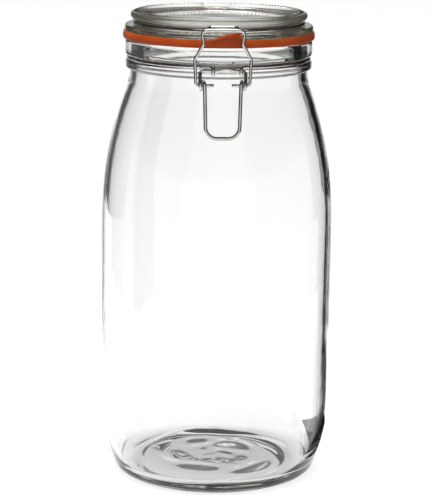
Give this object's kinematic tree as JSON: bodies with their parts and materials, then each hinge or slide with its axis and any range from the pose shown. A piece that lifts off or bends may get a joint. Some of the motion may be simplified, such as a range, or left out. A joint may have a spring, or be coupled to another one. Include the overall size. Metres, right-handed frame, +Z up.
{
  "type": "clip-top storage jar",
  "caption": "Tall clear glass storage jar with a dished glass lid on a rubber seal, hinged at the back and clamped at the front by a wire bail and lever.",
  "frame": {"origin": "centre of the jar's base, on the plane that it stands on", "axes": "+Z up the jar's axis, -Y towards the clamp at the front, +X to the right of someone facing the clamp"},
  "size_m": [0.1398, 0.1398, 0.2826],
  "materials": {
    "jar_glass": "gloss",
    "lid_glass": "gloss",
    "seal_rubber": "satin",
    "wire_steel": "bright drawn wire"
  },
  "bodies": {
    "jar": {"jar_body": "jar_glass", "neck_wire": "wire_steel"},
    "lid": {"lid": "lid_glass", "seal": "seal_rubber", "lid_wire": "wire_steel"},
    "lever": {"lever": "wire_steel"},
    "bail": {"bail": "wire_steel"}
  },
  "joints": [
    {"name": "lid_hinge", "type": "hinge", "parent": "jar", "child": "lid", "pos_m": [0, 0.0606, 0.266], "axis": [-1, 0, 0], "range_deg": [0, 115]},
    {"name": "lever_pivot", "type": "hinge", "parent": "jar", "child": "lever", "pos_m": [0, -0.0587, 0.2534], "axis": [-1, 0, 0], "range_deg": [0, 135]},
    {"name": "bail_pivot", "type": "hinge", "parent": "lever", "child": "bail", "pos_m": [0, -0.0604, 0.2454], "axis": [1, 0, 0], "range_deg": [0, 162]}
  ],
  "couplings": [
    {"joint": "bail_pivot", "follows": "lever_pivot", "ratio": 1.2}
  ]
}
